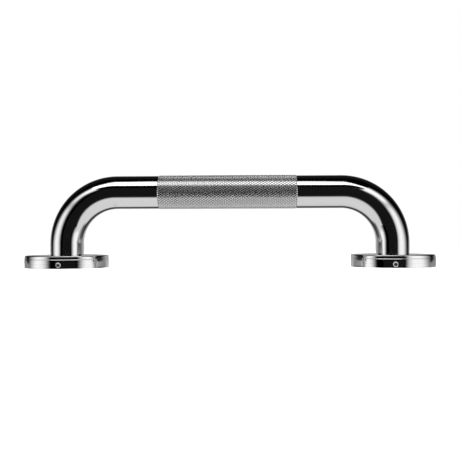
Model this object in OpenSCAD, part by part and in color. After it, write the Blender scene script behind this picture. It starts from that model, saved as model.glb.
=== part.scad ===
// Straight grab rail: a bent steel tube with a knurled grip, welded to two base
// flanges that are screwed to a wall. A loose turned cover hides each flange, and
// a grub screw in its wall locks it to the flange's edge. The wall is the plane
// z = 0, the rail runs along x, and the origin lies midway between the legs.

/* [Rail tube] */
// Outside diameter of the tube
tube_d = 32; // [30:0.5:33]
// Wall thickness of the tube
tube_wall = 1.5; // [1:0.1:2.5]
// Distance between the centrelines of the two legs
leg_spacing = 318; // [280:1:500]
// Height of the grip's axis above the wall
axis_height = 73; // [73:0.5:110]
// Bend radius at the centreline of the tube
bend_r = 50; // [40:0.5:50]

/* [Knurled grip] */
// Length of the knurled band
knurl_length = 134; // [60:1:150]
// Height of the knurl's crests above the plain tube
knurl_rise = 0.35; // [0.1:0.05:0.5]
// Length of the sloped edge at each end of the band
knurl_edge = 0.5; // [0.2:0.1:1]
// How far the middle of the band sits to the left of the rail's middle
knurl_shift = 1.5; // [0:0.1:10]

/* [Base flanges] */
// Diameter of a base flange
flange_d = 68; // [67:0.5:68]
// Thickness of a base flange
flange_t = 5; // [4.5:0.1:5]
// Size of the weld bead between the tube and a flange
weld_leg = 1.4; // [1:0.1:1.6]
// Thickness of the gasket between a flange and the wall
gasket_t = 1; // [0.8:0.1:1]
// Number of wall screws in each flange
screw_count = 3; // [3:1:4]
// Diameter of the circle that the wall screws lie on
screw_circle_d = 52; // [50:0.5:53]
// Diameter of the hole for a wall screw
screw_hole_d = 6.5; // [5:0.5:7]
// Diameter of the countersink for a wall screw's head
countersink_d = 11.5; // [10:0.5:12]

/* [Covers] */
// Outside diameter of a cover
cover_d = 81; // [79:0.5:90]
// Height of a cover
cover_h = 12; // [11:0.1:12.5]
// Thickness of a cover's outer wall
cover_wall = 4.5; // [3.5:0.1:4.5]
// Thickness of a cover's top
cover_top = 3.2; // [3:0.1:3.2]
// Radius of the rounded edge round a cover's top
cover_edge_r = 1.3; // [0.8:0.1:3]
// Width of the chamfer round a cover's foot
cover_foot = 0.3; // [0.2:0.1:0.8]
// Radius of the gently bulged profile of the outer wall
barrel_r = 70; // [40:1:90]
// Height above the wall of the fine line turned into a cover
line_z = 8.5; // [7:0.1:9]
// Width of the turned line
line_w = 0.6; // [0.4:0.1:1.4]
// Depth of the turned line
line_depth = 0.2; // [0.1:0.05:0.5]
// Turn of the left cover from facing forward, in degrees
left_turn = 3; // [-30:1:30]
// Turn of the right cover from facing forward, in degrees
right_turn = -9; // [-30:1:30]

/* [Seal rings] */
// Thickness of a seal ring's round section
seal_section = 1.6; // [1.2:0.1:1.6]

/* [Grub screws] */
// Thread diameter of a grub screw
grub_d = 4; // [3:0.5:4]
// Height of a grub screw's axis above the wall
grub_z = 3.5; // [3.2:0.1:3.8]
// Depth of a grub screw's outer end below the cover's surface
grub_recess = 0.4; // [0.4:0.1:1]
// Width of the chamfer round the mouth of the tapped hole
mouth_chamfer = 0.5; // [0.2:0.1:0.6]
// Width across the flats of the hexagon socket
socket_w = 2; // [1.5:0.5:2]
// Depth of the hexagon socket
socket_depth = 2; // [1.5:0.1:3]

/* [Hidden] */
$fn = 96;

// Sides of the rail
left = -1;
right = 1;

// Clearances
weld_gap = 0.05;
running_fit = 0.05;
cover_clearance = 0.3;
gasket_clearance = 0.5;
grub_tip_gap = 0.05;
// Length by which a cutting shape passes a face
over = 1;
// Depth of a shallow chamfer for each millimetre of its width
shallow = 0.6;

// Rail tube
tube_r = tube_d / 2;
leg_x = leg_spacing / 2;
bend_x = leg_x - bend_r;
bend_z = axis_height - bend_r;

// Base flange, standing on its gasket
flange_r = flange_d / 2;
flange_top = gasket_t + flange_t;
flange_chamfer = 0.3;
screw_hole_r = screw_hole_d / 2;
countersink_depth = (countersink_d - screw_hole_d) / 2;

// Seal ring and the groove in the cover that holds it
seal_r = seal_section / 2;
seal_centre_r = tube_r + running_fit + seal_r;
seal_z = cover_h - cover_top / 2;
groove_r = seal_centre_r + seal_r + running_fit;
groove_half = seal_r + running_fit;

// Cover
cover_r = cover_d / 2;
cover_bore_r = tube_r + cover_clearance;
cavity_r = cover_r - cover_wall;
cavity_h = cover_h - cover_top;
bore_chamfer = 0.3;
wall_centre_r = cover_r - barrel_r;
wall_centre_z = cover_h / 2;
edge_z = cover_h - cover_edge_r;
edge_rise = asin((edge_z - wall_centre_z) / (barrel_r - cover_edge_r));
edge_centre_r = wall_centre_r + (barrel_r - cover_edge_r) * cos(edge_rise);
foot_r = wall_centre_r + sqrt(barrel_r * barrel_r - wall_centre_z * wall_centre_z);
tangent_z = wall_centre_z + barrel_r * sin(edge_rise);
line_mouth = line_w * (line_depth + over) / line_depth;

// Grub screw, from its outer end to its tip at the flange's edge
grub_r = grub_d / 2;
grub_outer_r = cover_r - grub_recess;
grub_tip_r = flange_r + grub_tip_gap;
grub_chamfer = 0.4;
grub_face_chamfer = 0.5;
tapped_r = grub_r + running_fit;
mouth_depth = mouth_chamfer * shallow;

// Puts a part at the foot of one leg, turned about it
module at_leg(side, turn = 0) {
    translate([side * leg_x, 0, 0]) rotate([0, 0, turn]) children();
}

// A rod along the rail's centreline, with its feet at height foot_z
module rail_rod(rod_r, foot_z) {
    for (side = [left, right]) {
        translate([side * leg_x, 0, foot_z]) cylinder(h = bend_z - foot_z, r = rod_r);
    }
    bend_rod(rod_r);
    mirror([1, 0, 0]) bend_rod(rod_r);
    translate([-bend_x, 0, axis_height]) rotate([0, 90, 0]) cylinder(h = 2 * bend_x, r = rod_r);
}

// The quarter turn from the right leg to the grip
module bend_rod(rod_r) {
    translate([bend_x, 0, bend_z]) rotate([90, 0, 0])
        rotate_extrude(angle = 90) translate([bend_r, 0]) circle(r = rod_r);
}

// The knurled band's envelope, a sleeve with sloped ends
module knurl_band() {
    band_r = tube_r + knurl_rise;
    root_r = tube_r - tube_wall / 2;
    translate([-knurl_shift - knurl_length / 2, 0, axis_height]) rotate([0, 90, 0])
        rotate_extrude() polygon([
            [root_r, 0],
            [tube_r, 0],
            [band_r, knurl_edge],
            [band_r, knurl_length - knurl_edge],
            [tube_r, knurl_length],
            [root_r, knurl_length]
        ]);
}

// The bent tube, open at both feet, with its knurled band
module rail_tube() {
    color("silver") difference() {
        union() {
            rail_rod(tube_r, gasket_t);
            knurl_band();
        }
        rail_rod(tube_r - tube_wall, gasket_t - over);
    }
}

// Repeats a shape at each wall screw, the first one straight above the leg
module at_wall_screws() {
    for (i = [0 : screw_count - 1]) {
        rotate([0, 0, 90 + i * 360 / screw_count]) translate([screw_circle_d / 2, 0, 0]) children();
    }
}

// The plate that is screwed to the wall, with the leg welded into its middle
module base_flange(side) {
    color("gainsboro") at_leg(side) difference() {
        rotate_extrude() polygon([
            [tube_r + weld_gap, gasket_t],
            [flange_r - flange_chamfer, gasket_t],
            [flange_r, gasket_t + flange_chamfer],
            [flange_r, flange_top - flange_chamfer],
            [flange_r - flange_chamfer, flange_top],
            [tube_r + weld_gap, flange_top]
        ]);
        at_wall_screws() {
            translate([0, 0, gasket_t - over]) cylinder(h = flange_t + 2 * over, r = screw_hole_r);
            translate([0, 0, flange_top - countersink_depth])
                cylinder(h = countersink_depth, r1 = screw_hole_r, r2 = countersink_d / 2);
        }
    }
}

// The bead of weld round the foot of a leg
module weld_bead(side) {
    color("darkgray") at_leg(side) rotate_extrude() translate([tube_r, flange_top]) intersection() {
        square(weld_leg);
        circle(r = weld_leg);
    }
}

// The thin gasket between a flange and the wall
module wall_gasket(side) {
    color("dimgray") at_leg(side) difference() {
        cylinder(h = gasket_t, r = flange_r - gasket_clearance);
        translate([0, 0, -over]) cylinder(h = gasket_t + 2 * over, r = tube_r + gasket_clearance);
        at_wall_screws() translate([0, 0, -over]) cylinder(h = gasket_t + 2 * over, r = screw_hole_r);
    }
}

// Outer shape of a cover's section: a bulged wall that runs smoothly into a rounded top edge
module cover_outline() {
    intersection() {
        translate([wall_centre_r, wall_centre_z]) circle(r = barrel_r);
        square([cover_r, tangent_z]);
    }
    square([edge_centre_r, cover_h]);
    translate([edge_centre_r, edge_z]) circle(r = cover_edge_r);
}

// Everything that is cut out of a cover's section
module cover_hollow() {
    translate([0, -over]) square([cavity_r, cavity_h + over]);
    translate([0, -over]) square([cover_bore_r, cover_h + 2 * over]);
    translate([0, seal_z - groove_half]) square([groove_r, 2 * groove_half]);
    polygon([
        [0, cover_h - bore_chamfer],
        [cover_bore_r, cover_h - bore_chamfer],
        [cover_bore_r + bore_chamfer, cover_h],
        [cover_bore_r + bore_chamfer, cover_h + over],
        [0, cover_h + over]
    ]);
    polygon([
        [foot_r - cover_foot - over, -over],
        [foot_r + over, -over],
        [foot_r + over, cover_foot + over]
    ]);
    polygon([
        [cover_r - line_depth, line_z],
        [cover_r + over, line_z - line_mouth / 2],
        [cover_r + over, line_z + line_mouth / 2]
    ]);
}

// The loose cover, tapped through its wall for the grub screw
module cover(side, turn) {
    mouth_r = tapped_r + mouth_chamfer + over / shallow;
    color("silver") at_leg(side, turn) difference() {
        rotate_extrude() difference() {
            cover_outline();
            cover_hollow();
        }
        translate([0, 0, grub_z]) rotate([90, 0, 0]) {
            translate([0, 0, cavity_r - over]) cylinder(h = cover_wall + 2 * over, r = tapped_r);
            translate([0, 0, cover_r - mouth_depth])
                cylinder(h = mouth_depth + over, r1 = tapped_r, r2 = mouth_r);
        }
    }
}

// The rubber ring between a leg and its cover
module cover_seal(side) {
    color("black") at_leg(side) rotate_extrude() translate([seal_centre_r, seal_z]) circle(r = seal_r);
}

// The headless screw in a cover's wall
module grub_screw(side, turn) {
    length = grub_outer_r - grub_tip_r;
    color("dimgray") at_leg(side, turn)
        translate([0, -grub_tip_r, grub_z]) rotate([90, 0, 0]) difference() {
            rotate_extrude() polygon([
                [0, 0],
                [grub_r - grub_chamfer, 0],
                [grub_r, grub_chamfer],
                [grub_r, length - grub_face_chamfer * shallow],
                [grub_r - grub_face_chamfer, length],
                [0, length]
            ]);
            translate([0, 0, length - socket_depth])
                cylinder(h = socket_depth + over, d = socket_w / cos(30), $fn = 6);
        }
}

rail_tube();
base_flange(left);  // base_flange_left
base_flange(right);  // base_flange_right
weld_bead(left);  // weld_bead_left
weld_bead(right);  // weld_bead_right
wall_gasket(left);  // wall_gasket_left
wall_gasket(right);  // wall_gasket_right
cover(left, left_turn);  // cover_left
cover(right, right_turn);  // cover_right
cover_seal(left);  // cover_seal_left
cover_seal(right);  // cover_seal_right
grub_screw(left, left_turn);  // grub_screw_left
grub_screw(right, right_turn);  // grub_screw_right
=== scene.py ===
"""Looks of a straight grab rail: a bent polished tube with a diamond-knurled grip, turned covers
over its base flanges, and a grub screw in each cover. Everything is in metres, in the CAD frame."""

import math

import bpy
import numpy as np
from mathutils import Matrix, Vector


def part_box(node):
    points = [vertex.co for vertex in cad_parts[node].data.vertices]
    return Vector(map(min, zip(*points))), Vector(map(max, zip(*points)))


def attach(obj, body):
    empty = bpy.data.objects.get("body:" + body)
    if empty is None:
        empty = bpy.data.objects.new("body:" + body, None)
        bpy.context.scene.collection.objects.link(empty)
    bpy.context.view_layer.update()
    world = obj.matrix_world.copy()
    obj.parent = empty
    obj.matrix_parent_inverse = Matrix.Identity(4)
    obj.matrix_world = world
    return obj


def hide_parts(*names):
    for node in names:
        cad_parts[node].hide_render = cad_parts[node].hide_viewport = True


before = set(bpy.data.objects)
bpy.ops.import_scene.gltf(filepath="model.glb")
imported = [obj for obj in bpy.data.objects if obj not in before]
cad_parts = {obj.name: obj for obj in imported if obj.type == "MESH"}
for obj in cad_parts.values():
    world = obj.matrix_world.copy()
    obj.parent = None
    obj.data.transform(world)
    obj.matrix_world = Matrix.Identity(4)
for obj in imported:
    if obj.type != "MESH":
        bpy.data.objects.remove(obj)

UV_MAP = "along_and_across"
MM = 0.001
Z_AXIS = Vector((0, 0, 1))
SIDES = {"left": -1, "right": 1}
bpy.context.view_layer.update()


# ---------------------------------------------------------------- sizes

def box_centre(node):
    """Middle of a CAD node's box."""
    low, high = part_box(node)
    return (low + high) / 2


def box_size(node):
    """Lengths of a CAD node's box along x, y and z."""
    low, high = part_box(node)
    return high - low


# Rail tube
TUBE_WALL = 1.5 * MM
LEG_X = box_centre("base_flange_right").x
TUBE_LOW, TUBE_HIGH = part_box("rail_tube")
FOOT_Z = TUBE_LOW.z
TUBE_R = TUBE_HIGH.x - LEG_X
CREST_R = TUBE_HIGH.y
AXIS_Z = TUBE_HIGH.z - CREST_R
BEND_R = 50 * MM
BORE_R = TUBE_R - TUBE_WALL
TUBE_COLUMNS = 100
BEND_STEPS = 48

# Knurled grip: flat-topped diamonds whose flanks take a third of the way from valley to middle
KNURL_LENGTH = 134 * MM
KNURL_MIDDLE = -1.5 * MM
KNURL_PERIODS = 39
KNURL_DEPTH = 0.27 * MM
KNURL_LEAD_IN = 0.4 * MM
KNURL_JOIN = 0.5 * MM

# Covers
COVER_WALL = 4.5 * MM
COVER_PLAY = 0.3 * MM
COVER_R = box_size("cover_left").x / 2
COVER_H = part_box("cover_left")[1].z
COVER_CAVITY_R = COVER_R - COVER_WALL
COVER_TOP = 3.2 * MM
COVER_BORE_R = TUBE_R + COVER_PLAY
COVER_BARREL_R = 70 * MM
COVER_EDGE_R = 1.3 * MM
COVER_FOOT = 0.3 * MM
BORE_CHAMFER = 0.3 * MM
LINE_Z = 8.5 * MM
LINE_W = 0.6 * MM
LINE_DEPTH = 0.2 * MM
COVER_COLUMNS = 288

# Gap round whatever sits in a groove or a thread
FIT_GAP = 0.05 * MM

# Seal groove in a cover's bore
SEAL_Z = box_centre("cover_seal_left").z
GROOVE_R = box_size("cover_seal_left").x / 2 + FIT_GAP
GROOVE_HALF = box_size("cover_seal_left").z / 2 + FIT_GAP

# Grub screws and the tapped holes that hold them
GRUB_R = box_size("grub_screw_left").z / 2
GRUB_Z = box_centre("grub_screw_left").z
GRUB_PITCH = 0.7 * MM
GRUB_THREAD_DEPTH = 0.35 * MM
GRUB_RECESS = 0.4 * MM
GRUB_TIP_R = box_size("base_flange_left").x / 2 + FIT_GAP
GRUB_OUTER_R = COVER_R - GRUB_RECESS
GRUB_CHAMFER = 0.4 * MM
GRUB_FACE_CHAMFER = 0.5 * MM
SHALLOW = 0.6
SOCKET_R = 2 * MM / math.sqrt(3)
SOCKET_DEPTH = 2 * MM
SOCKET_LEAD_IN = 0.15 * MM
SOCKET_POINT = 0.4 * MM
TAPPED_R = GRUB_R + FIT_GAP
MOUTH_CHAMFER = 0.5 * MM

# Weld beads
WELD_SIZE = box_size("weld_bead_left").z
WELD_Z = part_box("weld_bead_left")[0].z


def leg_foot(side):
    """The point on the wall plane at the middle of a leg."""
    return Vector((SIDES[side] * LEG_X, 0, 0))


def grub_axis(side):
    """A grub screw's axis: where it leaves the leg's middle, its way out, and the way across."""
    offset = box_centre("grub_screw_" + side) - leg_foot(side)
    turn = math.atan2(offset.x, -offset.y)
    way = Vector((math.sin(turn), -math.cos(turn), 0))
    return leg_foot(side) + GRUB_Z * Z_AXIS, way, Z_AXIS.cross(way)


# ---------------------------------------------------------------- mesh helpers

class MeshParts:
    """Points and faces gathered into one mesh, with one UV pair for each face corner."""

    def __init__(self):
        self.points = []
        self.faces = []
        self.uvs = []
        self.slots = []
        self.flat = []

    def add_points(self, points):
        """Adds points and returns the index of the first."""
        first = len(self.points)
        self.points.extend(tuple(p) for p in points)
        return first

    def add_face(self, corners, uvs, slot=0, flat=False):
        """Adds a face with its UVs, its material's place and whether it is flat shaded."""
        self.faces.append(tuple(corners))
        self.uvs.extend(uvs)
        self.slots.append(slot)
        self.flat.append(flat)

    def build(self, name, materials, sharp_deg=30):
        """Makes the object, smooth except over sharp edges and on flat faces."""
        mesh = bpy.data.meshes.new(name)
        mesh.from_pydata(self.points, [], self.faces)
        layer = mesh.uv_layers.new(name=UV_MAP)
        layer.data.foreach_set("uv", np.asarray(self.uvs, np.float32).ravel())
        for material in materials:
            mesh.materials.append(material)
        mesh.polygons.foreach_set("material_index", np.asarray(self.slots, np.int32))
        mesh.polygons.foreach_set("use_smooth", ~np.asarray(self.flat, bool))
        mesh.set_sharp_from_angle(angle=math.radians(sharp_deg))
        mesh.update()
        piece = bpy.data.objects.new(name, mesh)
        bpy.context.scene.collection.objects.link(piece)
        return piece


def add_grid(parts, points, u, v, closed_rows=False, inward=False):
    """Quads over a grid of points, rows by columns, whose columns close into a ring.
    u gives each row's place along the surface, and v each column's place across it."""
    rows, columns = len(points), len(points[0])
    first = parts.add_points(p for row in points for p in row)
    for i in range(rows if closed_rows else rows - 1):
        here, there = first + i * columns, first + (i + 1) % rows * columns
        for j in range(columns):
            n = (j + 1) % columns
            corners = (here + j, here + n, there + n, there + j)
            uvs = [(u[i], v[j]), (u[i], v[j + 1]), (u[i + 1], v[j + 1]), (u[i + 1], v[j])]
            if inward:
                corners, uvs = corners[::-1], uvs[::-1]
            parts.add_face(corners, uvs)
    return first


def arc(centre, radius, start_deg, end_deg, steps):
    """Points of an arc in a section's (radius, height) plane."""
    x, z = centre
    angles = np.radians(np.linspace(start_deg, end_deg, steps + 1))
    return [(x + radius * math.cos(a), z + radius * math.sin(a)) for a in angles]


def revolve(parts, section, columns, centre):
    """Turns a closed section, anticlockwise in (radius, height), about a vertical line."""
    section = np.asarray(section, float)
    ends = np.vstack([section, section[:1]])
    along = np.concatenate([[0.0], np.cumsum(np.linalg.norm(np.diff(ends, axis=0), axis=1))])
    turns = np.linspace(0, 2 * math.pi, columns + 1)
    x, y, foot = centre
    rings = [
        [(x + r * math.cos(a), y + r * math.sin(a), foot + z) for a in turns[:-1]]
        for r, z in section
    ]
    add_grid(parts, rings, along, turns * COVER_R, closed_rows=True)


# ---------------------------------------------------------------- rail tube

LEG_LENGTH = AXIS_Z - BEND_R - FOOT_Z
BEND_LENGTH = BEND_R * math.pi / 2
GRIP_LENGTH = 2 * (LEG_X - BEND_R)
RAIL_LENGTH = 2 * (LEG_LENGTH + BEND_LENGTH) + GRIP_LENGTH
KNURL_START = RAIL_LENGTH / 2 + KNURL_MIDDLE - KNURL_LENGTH / 2
KNURL_END = KNURL_START + KNURL_LENGTH


def rail_station(s):
    """Point on the rail's centreline at length s from the left foot, and the bend's outward way."""
    if s > RAIL_LENGTH / 2:
        point, outward = rail_station(RAIL_LENGTH - s)
        return Vector((-point.x, 0, point.z)), Vector((-outward.x, 0, outward.z))
    if s < LEG_LENGTH:
        return Vector((-LEG_X, 0, FOOT_Z + s)), Vector((-1, 0, 0))
    if s < LEG_LENGTH + BEND_LENGTH:
        turn = (s - LEG_LENGTH) / BEND_R
        outward = Vector((-math.cos(turn), 0, math.sin(turn)))
        return Vector((BEND_R - LEG_X, 0, AXIS_Z - BEND_R)) + outward * BEND_R, outward
    return Vector((BEND_R - LEG_X + s - LEG_LENGTH - BEND_LENGTH, 0, AXIS_Z)), Vector((0, 0, 1))


def rail_ring(s, radii, angles):
    """Points round the rail at length s, from the outside of the bend and on towards -Y."""
    centre, outward = rail_station(s)
    front = Vector((0, -1, 0))
    return [
        centre + (math.cos(a) * outward + math.sin(a) * front) * float(r)
        for r, a in zip(radii, angles)
    ]


def plain_stations(start, end):
    """Lengths at which a plain stretch of tube has a ring: its ends and closely round each bend."""
    bend = np.linspace(LEG_LENGTH, LEG_LENGTH + BEND_LENGTH, BEND_STEPS + 1)
    inner = np.concatenate([bend, RAIL_LENGTH - bend[::-1]])
    inner = inner[(inner > start) & (inner < end)]
    return np.concatenate([[start], inner, [end]])


def add_plain_tube(parts, start, end, radius, inward=False):
    """A plain stretch of tube surface, facing out or in."""
    angles = np.linspace(0, 2 * math.pi, TUBE_COLUMNS + 1)
    stations = plain_stations(start, end)
    rings = [rail_ring(s, [radius] * TUBE_COLUMNS, angles[:-1]) for s in stations]
    return add_grid(parts, rings, stations, angles * TUBE_R, inward=inward)


def knurl_nodes(cells):
    """Grid lines over a number of half diamonds, three to each."""
    return np.array([n + part / 3 for n in range(cells) for part in range(3)])


def knurl_height(x, y):
    """Height over the valleys, 0 to 1, of flat-topped diamonds whose half widths are 1."""
    def from_valley(t):
        return abs(2 * (t % 1) - 1)
    return min(3 * from_valley((x + y) / 2), 3 * from_valley((x - y) / 2), 1)


def add_knurl(parts):
    """The knurled band: flat-topped diamonds, flat shaded, running out flush at both ends."""
    half = KNURL_LENGTH / KNURL_PERIODS / 2
    rows = np.append(knurl_nodes(2 * KNURL_PERIODS), 2 * KNURL_PERIODS)
    columns = knurl_nodes(TUBE_COLUMNS)
    angles = columns * 2 * math.pi / TUBE_COLUMNS
    rings = []
    for x in rows:
        from_end = min(x, 2 * KNURL_PERIODS - x) * half
        fade = min(from_end / KNURL_LEAD_IN, 1)
        crest = [CREST_R - KNURL_DEPTH * (1 - knurl_height(x, y)) for y in columns]
        radii = [TUBE_R + fade * (r - TUBE_R) for r in crest]
        rings.append(rail_ring(KNURL_START + x * half, radii, angles))
    first = parts.add_points(p for ring in rings for p in ring)
    wide = np.append(angles, 2 * math.pi) * TUBE_R
    count = len(columns)
    for i in range(len(rows) - 1):
        u = (KNURL_START + rows[i] * half, KNURL_START + rows[i + 1] * half)
        for j in range(count):
            n = (j + 1) % count
            here, there = first + i * count, first + (i + 1) * count
            corners = (here + j, here + n, there + n, there + j)
            v = (wide[j], wide[j + 1])
            uvs = ((u[0], v[0]), (u[0], v[1]), (u[1], v[1]), (u[1], v[0]))
            even = (i // 3 + j // 3) % 2 == 0
            for split in ((0, 1, 3), (1, 2, 3)) if even else ((0, 1, 2), (0, 2, 3)):
                parts.add_face(
                    [corners[k] for k in split], [uvs[k] for k in split], slot=1, flat=True
                )
    return first, first + (len(rows) - 1) * count


def join_plain_to_knurl(parts, plain, knurl, u_plain, u_knurl, forward):
    """Faces between a plain ring and the band's first or last ring, with three knurl steps each."""
    width = 2 * math.pi * TUBE_R / TUBE_COLUMNS
    for j in range(TUBE_COLUMNS):
        n = (j + 1) % TUBE_COLUMNS
        fine = [knurl + 3 * j, knurl + 3 * j + 1, knurl + 3 * j + 2, knurl + 3 * n]
        corners = [plain + j, plain + n] + fine[::-1]
        across = [j, j + 1, j + 1, j + 2 / 3, j + 1 / 3, j]
        lengths = [u_plain] * 2 + [u_knurl] * 4
        uvs = [(u, a * width) for u, a in zip(lengths, across)]
        if not forward:
            corners, uvs = corners[::-1], uvs[::-1]
        parts.add_face(corners, uvs)


def make_rail_tube(polished, knurled):
    """The whole tube: two bent plain ends, the knurled grip, the bore and the cut feet."""
    parts = MeshParts()
    left_end, right_end = KNURL_START - KNURL_JOIN, KNURL_END + KNURL_JOIN
    left = add_plain_tube(parts, 0, left_end, TUBE_R)
    left_last = len(parts.points) - TUBE_COLUMNS
    knurl_first, knurl_last = add_knurl(parts)
    right = add_plain_tube(parts, right_end, RAIL_LENGTH, TUBE_R)
    right_last = len(parts.points) - TUBE_COLUMNS
    join_plain_to_knurl(parts, left_last, knurl_first, left_end, KNURL_START, True)
    join_plain_to_knurl(parts, right, knurl_last, right_end, KNURL_END, False)
    bore = add_plain_tube(parts, 0, RAIL_LENGTH, BORE_R, inward=True)
    bore_last = len(parts.points) - TUBE_COLUMNS
    for outer, inner, turned in ((left, bore, False), (right_last, bore_last, True)):
        for j in range(TUBE_COLUMNS):
            n = (j + 1) % TUBE_COLUMNS
            corners = (inner + j, inner + n, outer + n, outer + j)
            parts.add_face(corners[::-1] if turned else corners, [(0, 0)] * 4)
    return parts.build("polished_rail_tube", [polished, knurled])


# ---------------------------------------------------------------- covers

def line_edge(way):
    """Height at which the turned line's flank, up (1) or down (-1), meets the bulged wall."""
    z = LINE_Z
    for _ in range(8):
        bulge = math.sqrt(COVER_BARREL_R**2 - (z - COVER_H / 2) ** 2)
        wall_r = COVER_R - COVER_BARREL_R + bulge
        z = LINE_Z + way * LINE_W / 2 * (wall_r - COVER_R + LINE_DEPTH) / LINE_DEPTH
    return z


def wall_arc(low_z, high_z, steps):
    """Points of the bulged wall between two heights."""
    middle = COVER_H / 2
    start, end = (math.degrees(math.asin((z - middle) / COVER_BARREL_R)) for z in (low_z, high_z))
    return arc((COVER_R - COVER_BARREL_R, middle), COVER_BARREL_R, start, end, steps)


def cover_section():
    """A cover's section, anticlockwise from the inner edge of its foot."""
    reach = COVER_BARREL_R - COVER_EDGE_R
    edge_z = COVER_H - COVER_EDGE_R
    rise = math.asin((edge_z - COVER_H / 2) / reach)
    edge_centre = (COVER_R - COVER_BARREL_R + reach * math.cos(rise), edge_z)
    tangent_z = COVER_H / 2 + COVER_BARREL_R * math.sin(rise)
    foot_r = wall_arc(0, COVER_H, 1)[0][0]
    top = np.linspace(edge_centre[0], COVER_BORE_R + BORE_CHAMFER, 9)[1:]
    groove_top, groove_foot = SEAL_Z + GROOVE_HALF, SEAL_Z - GROOVE_HALF
    cavity_h = COVER_H - COVER_TOP
    return (
        [(COVER_CAVITY_R, 0), (foot_r - COVER_FOOT, 0)]
        + wall_arc(COVER_FOOT, line_edge(-1), 10)
        + [(COVER_R - LINE_DEPTH, LINE_Z)]
        + wall_arc(line_edge(1), tangent_z, 3)
        + arc(edge_centre, COVER_EDGE_R, math.degrees(rise), 90, 14)[1:]
        + [(r, COVER_H) for r in top]
        + [(COVER_BORE_R, COVER_H - BORE_CHAMFER), (COVER_BORE_R, groove_top)]
        + [(GROOVE_R, groove_top), (GROOVE_R, groove_foot), (COVER_BORE_R, groove_foot)]
        + [(COVER_BORE_R, cavity_h), (COVER_CAVITY_R, cavity_h)]
    )


def tapped_hole(side, materials):
    """The shape cut out of a cover's wall: a round hole with a widened mouth."""
    centre, way, across = grub_axis(side)
    past = 1 * MM
    outline = [
        (TAPPED_R, COVER_CAVITY_R - past),
        (TAPPED_R, COVER_R - MOUTH_CHAMFER * SHALLOW),
        (TAPPED_R + MOUTH_CHAMFER + past / SHALLOW, COVER_R + past),
    ]
    columns = 64
    turns = np.linspace(0, 2 * math.pi, columns + 1)
    round_hole = [math.cos(a) * across + math.sin(a) * Z_AXIS for a in turns[:-1]]
    rings = [[centre + way * out + r * spoke for spoke in round_hole] for r, out in outline]
    parts = MeshParts()
    first = add_grid(parts, rings, [out for _, out in outline], turns * TAPPED_R)
    last = len(parts.points) - columns
    parts.add_face(range(first + columns - 1, first - 1, -1), [(0, 0)] * columns)
    parts.add_face(range(last, last + columns), [(0, 0)] * columns)
    return parts.build("tapped_hole_" + side, materials)


def make_cover(side, material):
    """A turned cover with its tapped hole."""
    parts = MeshParts()
    revolve(parts, cover_section(), COVER_COLUMNS, leg_foot(side))
    whole = parts.build("whole_cover", [material])
    cutter = tapped_hole(side, [material])
    cut = whole.modifiers.new("tapped_hole", "BOOLEAN")
    cut.operation = "DIFFERENCE"
    cut.solver = "EXACT"
    cut.object = cutter
    bpy.context.view_layer.update()
    evaluated = whole.evaluated_get(bpy.context.evaluated_depsgraph_get())
    mesh = bpy.data.meshes.new_from_object(evaluated)
    mesh.set_sharp_from_angle(angle=math.radians(24))
    cover = bpy.data.objects.new("turned_cover_" + side, mesh)
    bpy.context.scene.collection.objects.link(cover)
    bpy.data.objects.remove(whole)
    bpy.data.objects.remove(cutter)
    return cover


# ---------------------------------------------------------------- grub screws and weld beads

def make_grub_screw(side, material):
    """A headless screw with a helical thread and a hexagon socket, in its cover's tapped hole."""
    base, way, across = grub_axis(side)
    columns = 48
    turns = np.linspace(0, 2 * math.pi, columns + 1)
    length = GRUB_OUTER_R - GRUB_TIP_R
    steps = int(length / GRUB_PITCH * 8)

    def ring(radii, out):
        """Points round the screw at a distance from its tip."""
        middle = base + way * float(GRUB_TIP_R + out)
        return [
            middle + (math.cos(a) * across + math.sin(a) * Z_AXIS) * float(r)
            for r, a in zip(radii, turns[:-1])
        ]

    def thread_radius(out, a):
        """Radius of the thread at a place along and round the screw, within its chamfered ends."""
        phase = (out / GRUB_PITCH - a / (2 * math.pi)) % 1
        groove = GRUB_THREAD_DEPTH * min(1, max(0, 1.15 - abs(2 * phase - 1) * 1.4))
        at_tip = GRUB_R - GRUB_CHAMFER + out
        at_face = GRUB_R - GRUB_FACE_CHAMFER + (length - out) / SHALLOW
        return min(GRUB_R - groove, at_tip, at_face)

    def socket_radius(a):
        """Radius of the hexagon at an angle."""
        within = (a % (math.pi / 3)) - math.pi / 6
        return SOCKET_R * math.cos(math.pi / 6) / math.cos(within)

    parts = MeshParts()
    stations = np.linspace(0, length, steps + 1)
    rings = [ring([thread_radius(out, a) for a in turns[:-1]], out) for out in stations]
    along = list(stations)
    socket = np.array([socket_radius(a) for a in turns[:-1]])
    for scale, depth in ((1.12, 0), (1.0, SOCKET_LEAD_IN), (1.0, SOCKET_DEPTH)):
        rings.append(ring(socket * scale, length - depth))
        along.append(along[-1] + 0.5 * MM)
    first = add_grid(parts, rings, along, turns * GRUB_R)
    last = len(parts.points) - columns
    tip = parts.add_points([base + way * GRUB_TIP_R])
    floor = parts.add_points([base + way * (GRUB_OUTER_R - SOCKET_DEPTH - SOCKET_POINT)])
    for j in range(columns):
        n = (j + 1) % columns
        parts.add_face((first + n, first + j, tip), [(0, 0)] * 3)
        parts.add_face((last + j, last + n, floor), [(0, 0)] * 3)
    return parts.build("threaded_grub_screw_" + side, [material], sharp_deg=28)


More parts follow.
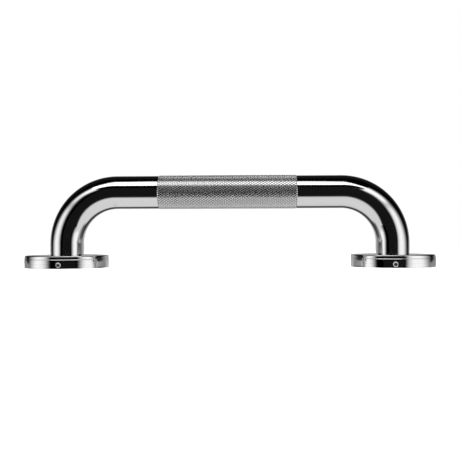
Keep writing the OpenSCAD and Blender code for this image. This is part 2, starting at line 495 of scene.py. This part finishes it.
def make_weld_bead(side, material):
    """A bead of weld with the overlapping ripples that the torch leaves."""
    columns = 240
    ripples = 60
    section = np.radians(np.linspace(0, 90, 8))
    turns = np.linspace(0, 2 * math.pi, columns + 1)
    centre = leg_foot(side)

    def bead_point(angle, a):
        phase = a * ripples / (2 * math.pi)
        swell = 0.93 + 0.05 * math.sin(angle * 2) * ((phase % 1) - 0.5) + 0.03 * math.sin(3 * a + 1)
        r = TUBE_R + WELD_SIZE * swell * math.cos(angle)
        z = WELD_Z + WELD_SIZE * swell * math.sin(angle)
        return centre + Vector((r * math.cos(a), r * math.sin(a), z))

    rings = [[bead_point(angle, a) for a in turns[:-1]] for angle in section]
    for r, z in ((TUBE_R, WELD_Z + WELD_SIZE * 0.9), (TUBE_R, WELD_Z)):
        rings.append([centre + Vector((r * math.cos(a), r * math.sin(a), z)) for a in turns[:-1]])
    parts = MeshParts()
    along = np.linspace(0, 3 * WELD_SIZE, len(rings) + 1)
    add_grid(parts, rings, along, turns * TUBE_R, closed_rows=True)
    return parts.build("rippled_weld_bead_" + side, [material], sharp_deg=50)


# ---------------------------------------------------------------- shader helpers

class Shader:
    """Adds nodes to one tree, and links or sets their inputs."""

    def __init__(self, tree):
        self.tree = tree

    def node(self, kind, inputs=None, **settings):
        """A new node. Each input is a socket to link or a value to set."""
        made = self.tree.nodes.new(kind)
        for name, value in settings.items():
            setattr(made, name, value)
        for name, value in (inputs or {}).items():
            if isinstance(value, bpy.types.NodeSocket):
                self.tree.links.new(value, made.inputs[name])
            else:
                made.inputs[name].default_value = value
        return made

    def math(self, operation, a, b=0.0):
        """The result of one sum on two values."""
        return self.node("ShaderNodeMath", {0: a, 1: b}, operation=operation).outputs[0]

    def soft_step(self, value, low, high, start=0.0, end=1.0):
        """Goes smoothly from start to end as the value goes from low to high."""
        inputs = {"Value": value, "From Min": low, "From Max": high, "To Min": start, "To Max": end}
        if low > high:
            inputs.update({"From Min": high, "From Max": low, "To Min": end, "To Max": start})
        return self.node("ShaderNodeMapRange", inputs, interpolation_type="SMOOTHSTEP").outputs[0]

    def product(self, *values):
        """All the values multiplied together."""
        result = values[0]
        for value in values[1:]:
            result = self.math("MULTIPLY", result, value)
        return result

    def noise(self, coordinates, scale, detail=3.0, roughness=0.55):
        """Noise from 0 to 1, stretched by its scale along each axis."""
        place = self.node("ShaderNodeMapping", {"Vector": coordinates, "Scale": scale}).outputs[0]
        inputs = {"Vector": place, "Scale": 1.0, "Detail": detail, "Roughness": roughness}
        return self.node("ShaderNodeTexNoise", inputs).outputs[0]

    def shades(self, value, low, high, dark, light):
        """A colour between dark and light as the value goes from low to high."""
        ramp = self.node("ShaderNodeValToRGB", {"Fac": value})
        ramp.color_ramp.elements[0].position = low
        ramp.color_ramp.elements[0].color = (*dark, 1)
        ramp.color_ramp.elements[1].position = high
        ramp.color_ramp.elements[1].color = (*light, 1)
        return ramp.outputs[0]

    def bump(self, height, distance):
        """A bumped normal for a height from 0 to 1."""
        inputs = {"Height": height, "Distance": distance, "Strength": 1.0}
        return self.node("ShaderNodeBump", inputs).outputs[0]

    def uv(self):
        """Place along and across a surface, in metres."""
        return self.node("ShaderNodeUVMap", uv_map=UV_MAP).outputs[0]

    def place(self):
        """Place in the piece."""
        return self.node("ShaderNodeTexCoord").outputs["Object"]

    def blend(self, a, a_share, b, b_share):
        """A sum of shares of two values."""
        a_part = self.math("MULTIPLY", a, a_share)
        return self.math("ADD", a_part, self.math("MULTIPLY", b, b_share))


def new_material(name):
    """An empty node material, its shader helper and its surface shader."""
    material = bpy.data.materials.new(name)
    material.use_nodes = True
    shader = Shader(material.node_tree)
    return material, shader, material.node_tree.nodes["Principled BSDF"]


def finish_material(shader, surface, colour, roughness, normal):
    """Links what varies over the surface to its shader."""
    shader.tree.links.new(colour, surface.inputs["Base Color"])
    shader.tree.links.new(roughness, surface.inputs["Roughness"])
    shader.tree.links.new(normal, surface.inputs["Normal"])


# ---------------------------------------------------------------- materials

def worked_steel(name, dark, light, rough, across, along, depth):
    """Steel with fine lines left by polishing or turning, and a faint cloudiness. Its colour is
    from dark to light, rough gives the range of its roughness, and across and along are lines
    for each metre over and along the surface."""
    material, shader, surface = new_material(name)
    surface.inputs["Metallic"].default_value = 1.0
    uv = shader.uv()
    fine = shader.noise(uv, (along, across, 1), detail=4.0, roughness=0.6)
    broad = shader.noise(uv, (along * 0.4, across * 0.12, 1), detail=2.0)
    cloud = shader.noise(shader.place(), (60, 60, 60))
    mixed = shader.blend(fine, 0.55, broad, 0.5)
    colour = shader.shades(mixed, 0.38, 0.66, (dark,) * 3, (light,) * 3)
    lines = shader.soft_step(mixed, 0.35, 0.7, rough[0], rough[1])
    roughness = shader.math("ADD", lines, shader.math("MULTIPLY", cloud, 0.02))
    finish_material(shader, surface, colour, roughness, shader.bump(mixed, depth))
    return material


def knurled_steel():
    """The knurl's steel: lighter on the diamonds' flats, with painted shade that darkens its colour
    in the valleys, which are also rougher.
    """
    material, shader, surface = new_material("knurled_steel")
    surface.inputs["Metallic"].default_value = 1.0
    place = shader.place()
    grain = shader.noise(place, (2600, 2600, 2600), detail=2.0)
    cloud = shader.noise(place, (90, 240, 240))
    mixed = shader.blend(grain, 0.5, cloud, 0.5)

    u, v, _ = shader.node("ShaderNodeSeparateXYZ", {0: shader.uv()}).outputs
    from_start = shader.math("SUBTRACT", u, KNURL_START)
    along = shader.math("MULTIPLY", from_start, KNURL_PERIODS / KNURL_LENGTH)
    across = shader.math("MULTIPLY", v, TUBE_COLUMNS / (4 * math.pi * TUBE_R))
    one_way = shader.math("PINGPONG", shader.math("ADD", along, across), 0.5)
    other_way = shader.math("PINGPONG", shader.math("SUBTRACT", along, across), 0.5)
    # Painted shade: 1 on the diamonds' flats, falling to 0 in the valleys between them
    flats_vs_painted_valley_shade = shader.soft_step(shader.math("MAXIMUM", one_way, other_way), 0.48, 0.34)

    shade = shader.blend(mixed, 0.3, flats_vs_painted_valley_shade, 0.7)
    # The colour darkens into the valleys as painted shade, and varies at random with the grain and
    # cloud
    colour = shader.shades(shade, 0.1, 0.9, (0.42,) * 3, (0.9,) * 3)
    roughness = shader.soft_step(shade, 0.1, 0.9, 0.36, 0.22)
    finish_material(shader, surface, colour, roughness, shader.bump(grain, 0.012 * MM))
    return material


def flange_steel():
    """The base flange's steel, cut from sheet: cold-rolled, with a short cross grain."""
    material, shader, surface = new_material("rolled_flange_steel")
    surface.inputs["Metallic"].default_value = 1.0
    place = shader.place()
    grain = shader.noise(place, (60, 2400, 2400), detail=4.0, roughness=0.65)
    patches = shader.noise(place, (70, 70, 70), detail=5.0)
    colour = shader.shades(patches, 0.35, 0.7, (0.42, 0.42, 0.43), (0.6, 0.6, 0.6))
    roughness = shader.soft_step(grain, 0.3, 0.7, 0.26, 0.42)
    finish_material(shader, surface, colour, roughness, shader.bump(grain, 0.01 * MM))
    return material


def weld_steel():
    """Weld metal: dull, with the straw and blue tints that heat leaves."""
    material, shader, surface = new_material("heat_tinted_weld")
    surface.inputs["Metallic"].default_value = 1.0
    place = shader.place()
    tint = shader.noise(place, (160, 160, 500), detail=2.0)
    grain = shader.noise(place, (1800, 1800, 1800))
    colour = shader.shades(tint, 0.4, 0.62, (0.3, 0.32, 0.42), (0.55, 0.47, 0.36))
    roughness = shader.soft_step(grain, 0.3, 0.7, 0.3, 0.5)
    finish_material(shader, surface, colour, roughness, shader.bump(grain, 0.02 * MM))
    return material


def rubber(name, dark, light, grain_size):
    """Black rubber with a fine moulded grain and a little bloom."""
    material, shader, surface = new_material(name)
    place = shader.place()
    grain = shader.noise(place, (1 / grain_size,) * 3, detail=3.0)
    bloom = shader.noise(place, (120, 120, 120), detail=4.0)
    colour = shader.shades(bloom, 0.35, 0.7, (dark,) * 3, (light,) * 3)
    roughness = shader.soft_step(bloom, 0.3, 0.7, 0.5, 0.68)
    finish_material(shader, surface, colour, roughness, shader.bump(grain, 0.03 * MM))
    return material


# ---------------------------------------------------------------- studio

TENT_X = 0.39
TENT_TOP = 0.47
TENT_LOW = -0.25
TENT_FRONT = -0.75
TENT_BACK = 0.075
SEAM_Z = 0.21
CEILING_GLOW = 1.8
ROOM_GLOW = 0.42
TABLE_GLOW = 0.73
DARK_GLOW = 0.008
DOME_R = 5.0
FLOOR_SIZE = 12.0
FLOOR_FADE = (0.35, 0.9)


def stage_piece(name, points, faces, material):
    """A mesh that belongs to the studio."""
    mesh = bpy.data.meshes.new(name)
    mesh.from_pydata(points, [], faces)
    mesh.materials.append(material)
    piece = bpy.data.objects.new(name, mesh)
    bpy.context.scene.collection.objects.link(piece)
    return piece


def glowing_material(name, glow):
    """A material that only shines, as strongly as glow(shader, x, y, z) says."""
    material = bpy.data.materials.new(name)
    material.use_nodes = True
    material.node_tree.nodes.clear()
    shader = Shader(material.node_tree)
    place = shader.node("ShaderNodeNewGeometry").outputs["Position"]
    x, y, z = shader.node("ShaderNodeSeparateXYZ", {0: place}).outputs
    shine = shader.node("ShaderNodeEmission", {"Strength": glow(shader, x, y, z)})
    shader.node("ShaderNodeOutputMaterial", {"Surface": shine.outputs[0]})
    return material


def side_glow(front_low, front_high, back_low):
    """Glow of a white tent wall. It fades out towards its front, which leans forward near the
    top, and towards its sloping back edge, save for a dim strip just below the rail's feet. It
    is brighter above its seam, and dimmer along the seam and near its foot."""
    def glow(shader, x, y, z):
        step = shader.soft_step
        lean = step(z, 0.25, TENT_TOP, 0.0, 0.26)
        front = step(shader.math("ADD", y, lean), front_low, front_high)
        slope = shader.math("ADD", y, shader.math("MULTIPLY", z, 0.45))
        strip = shader.product(step(z, 0.0, -0.012), step(z, -0.13, -0.07), 0.25)
        back = shader.math("MAXIMUM", step(slope, 0.06, back_low), strip)
        from_seam = shader.math("ABSOLUTE", shader.math("SUBTRACT", z, SEAM_Z))
        seam = step(from_seam, 0.0, 0.05, 0.68, 1.0)
        level = step(z, SEAM_Z, SEAM_Z + 0.06, 1.08, 1.25)
        foot = step(z, -0.12, -0.22, 1.0, 0.7)
        return shader.product(front, back, seam, level, foot)
    return glow


def ceiling_glow(shader, x, y, z):
    """Glow of the tent's white ceiling, whose back edge curves forward at both sides."""
    side = shader.soft_step(shader.math("ABSOLUTE", x), 0.11, 0.33, 0.0, 0.12)
    front = shader.soft_step(y, -0.43, -0.375)
    skew = shader.math("ADD", shader.math("MULTIPLY", x, 0.15), side)
    back = shader.soft_step(shader.math("ADD", y, skew), -0.09, -0.16)
    return shader.product(front, back, CEILING_GLOW)


def build_tent():
    """White walls and ceiling close round the rail, seen only in its reflections."""
    front, back = TENT_FRONT, TENT_BACK
    for side, fades in (("left", (-0.42, -0.13, -0.11)), ("right", (-0.66, -0.22, -0.14))):
        name = "tent_wall_" + side
        outline = ((front, TENT_LOW), (back, TENT_LOW), (back, TENT_TOP), (front, TENT_TOP))
        points = [(SIDES[side] * TENT_X, y, z) for y, z in outline]
        material = glowing_material(name, side_glow(*fades))
        hide_from_camera(stage_piece(name, points, [(0, 1, 2, 3)], material))
    outline = ((-TENT_X, front), (TENT_X, front), (TENT_X, back), (-TENT_X, back))
    points = [(x, y, TENT_TOP) for x, y in outline]
    material = glowing_material("tent_ceiling", ceiling_glow)
    hide_from_camera(stage_piece("tent_ceiling", points, [(0, 1, 2, 3)], material))


def hide_from_camera(piece):
    """Leaves a studio piece in reflections and in soft light only."""
    piece.visible_camera = False
    piece.visible_shadow = False


def build_world():
    """What the rail mirrors past the tent: dark ahead and above, a grey room behind, and a pale
    table below. Azimuths are in degrees from -Y, and rises in degrees over the horizon."""
    world = bpy.data.worlds.new("studio")
    world.use_nodes = True
    bpy.context.scene.world = world
    shader = Shader(world.node_tree)
    step = shader.soft_step
    direction = shader.node("ShaderNodeTexCoord").outputs["Generated"]
    x, y, z = shader.node("ShaderNodeSeparateXYZ", {0: direction}).outputs
    rise = shader.math("DEGREES", shader.math("ARCSINE", z))
    forward = shader.math("MULTIPLY", y, -1.0)
    azimuth = shader.math("DEGREES", shader.math("ARCTAN2", shader.math("ABSOLUTE", x), forward))

    turned = shader.math("SUBTRACT", azimuth, shader.math("MAXIMUM", rise, 0.0))
    room = shader.product(step(turned, 112, 150), step(rise, 46, 6), ROOM_GLOW)
    above = shader.math("ADD", room, DARK_GLOW)

    # How far ahead or behind a direction meets the table, for each unit of height over it
    drop = shader.math("MAXIMUM", shader.math("MULTIPLY", z, -1.0), 0.02)
    ahead = shader.math("DIVIDE", forward, drop)
    behind = shader.math("MULTIPLY", ahead, -1.0)
    dark_ahead = shader.product(step(ahead, 0.9, 1.5), step(azimuth, 62, 48))
    dark_behind = shader.product(
        step(behind, 0.45, 0.95), step(behind, 1.3, 4.5, 0.95, 0.3), step(azimuth, 105, 145)
    )
    dark_gap = shader.product(
        step(azimuth, 92, 112), step(azimuth, 156, 136),
        step(rise, -42, -30), step(rise, -5, -11, 0.55, 0.85),
    )
    table = TABLE_GLOW
    for dark in (dark_ahead, dark_behind, dark_gap):
        table = shader.product(shader.math("SUBTRACT", 1.0, dark), table)
    table = shader.math("ADD", table, DARK_GLOW)

    inputs = {"Factor": step(rise, -0.7, -2.7), "A": above, "B": table}
    light = shader.node("ShaderNodeMix", inputs, data_type="FLOAT").outputs[0]
    background = world.node_tree.nodes["Background"]
    world.node_tree.links.new(light, background.inputs["Strength"])
    background.inputs["Color"].default_value = (1, 1, 1, 1)


def build_floor():
    """A pale floor, soft-shadowed under the rail, that turns plain white further out."""
    material = bpy.data.materials.new("pale_floor")
    material.use_nodes = True
    material.node_tree.nodes.clear()
    shader = Shader(material.node_tree)
    place = shader.node("ShaderNodeNewGeometry").outputs["Position"]
    distance = shader.node("ShaderNodeVectorMath", {0: place}, operation="LENGTH").outputs["Value"]
    grain = shader.noise(place, (400, 400, 400))
    colour = shader.shades(grain, 0.3, 0.7, (0.86,) * 3, (0.9,) * 3)
    matt = shader.node("ShaderNodeBsdfDiffuse", {"Color": colour})
    white = shader.node("ShaderNodeEmission", {"Strength": 1.0})
    fade = shader.soft_step(distance, *FLOOR_FADE)
    mix = shader.node("ShaderNodeMixShader", {0: fade, 1: matt.outputs[0], 2: white.outputs[0]})
    shader.node("ShaderNodeOutputMaterial", {"Surface": mix.outputs[0]})
    half = FLOOR_SIZE / 2
    points = [(-half, -half, 0), (half, -half, 0), (half, half, 0), (-half, half, 0)]
    floor = stage_piece("pale_floor", points, [(0, 1, 2, 3)], material)
    floor.visible_glossy = False


def build_backdrop():
    """A plain white surround that only the camera sees."""
    material = glowing_material("white_backdrop", lambda shader, x, y, z: 1.0)
    columns, rows = 48, 24
    points = []
    for i in range(rows + 1):
        tilt = math.pi * i / rows
        for j in range(columns):
            turn = 2 * math.pi * j / columns
            ring = DOME_R * math.sin(tilt)
            points.append((ring * math.cos(turn), ring * math.sin(turn), DOME_R * math.cos(tilt)))
    faces = [
        (i * columns + j, i * columns + (j + 1) % columns,
         (i + 1) * columns + (j + 1) % columns, (i + 1) * columns + j)
        for i in range(rows) for j in range(columns)
    ]
    dome = stage_piece("white_backdrop", points, faces, material)
    dome.visible_diffuse = False
    dome.visible_glossy = False
    dome.visible_transmission = False
    dome.visible_shadow = False


def build_lamp():
    """A broad soft lamp overhead that lights the floor and the rubber, unseen in the steel."""
    lamp = bpy.data.lights.new("soft_lamp", "AREA")
    lamp.shape = "RECTANGLE"
    lamp.size = 1.8
    lamp.size_y = 1.4
    lamp.energy = 80
    holder = bpy.data.objects.new("soft_lamp", lamp)
    holder.location = (0, -0.15, 1.1)
    holder.visible_glossy = False
    bpy.context.scene.collection.objects.link(holder)


def build_camera():
    """The camera, a little above the covers and in front of the grip."""
    camera = bpy.data.cameras.new("camera")
    camera.sensor_width = 36
    camera.lens = 51.24
    camera.clip_start = 0.01
    camera.clip_end = 50
    holder = bpy.data.objects.new("camera", camera)
    holder.location = (11.5 * MM, -640 * MM, 29 * MM)
    up_tilt, left_turn, roll = 0.616, 0.955, 0.213
    holder.rotation_euler = (math.radians(90 + up_tilt), 0, math.radians(left_turn))
    bpy.context.scene.collection.objects.link(holder)
    bpy.context.view_layer.update()
    holder.matrix_world = holder.matrix_world @ Matrix.Rotation(math.radians(-roll), 4, "Z")
    bpy.context.scene.camera = holder


# ---------------------------------------------------------------- assembly

tube_steel = worked_steel(
    "polished_tube_steel", 0.8, 0.9, (0.05, 0.1), across=1500, along=14, depth=0.008 * MM
)
cover_steel = worked_steel(
    "turned_cover_steel", 0.78, 0.9, (0.05, 0.1), across=12, along=3200, depth=0.004 * MM
)
grub_steel = worked_steel(
    "grub_screw_steel", 0.62, 0.8, (0.12, 0.22), across=900, along=900, depth=0.008 * MM
)
knurl_steel = knurled_steel()
plate_steel = flange_steel()
bead_steel = weld_steel()
seal_rubber = rubber("seal_rubber", 0.018, 0.03, 0.5 * MM)
gasket_rubber = rubber("gasket_rubber", 0.03, 0.05, 0.9 * MM)

rail_tube = make_rail_tube(tube_steel, knurl_steel)
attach(rail_tube, "rail")
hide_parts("rail_tube")

for side in SIDES:
    cover = make_cover(side, cover_steel)
    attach(cover, side + "_cover")
    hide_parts("cover_" + side)

    grub_screw = make_grub_screw(side, grub_steel)
    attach(grub_screw, side + "_grub")
    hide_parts("grub_screw_" + side)

    weld_bead = make_weld_bead(side, bead_steel)
    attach(weld_bead, "rail")
    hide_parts("weld_bead_" + side)

    for node, material in (("base_flange_", plate_steel), ("cover_seal_", seal_rubber),
                           ("wall_gasket_", gasket_rubber)):
        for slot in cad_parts[node + side].material_slots:
            slot.material = material

build_tent()
build_world()
build_floor()
build_backdrop()
build_lamp()
build_camera()
bpy.context.scene.view_settings.view_transform = "Standard"
bpy.context.scene.cycles.denoising_prefilter = "NONE"
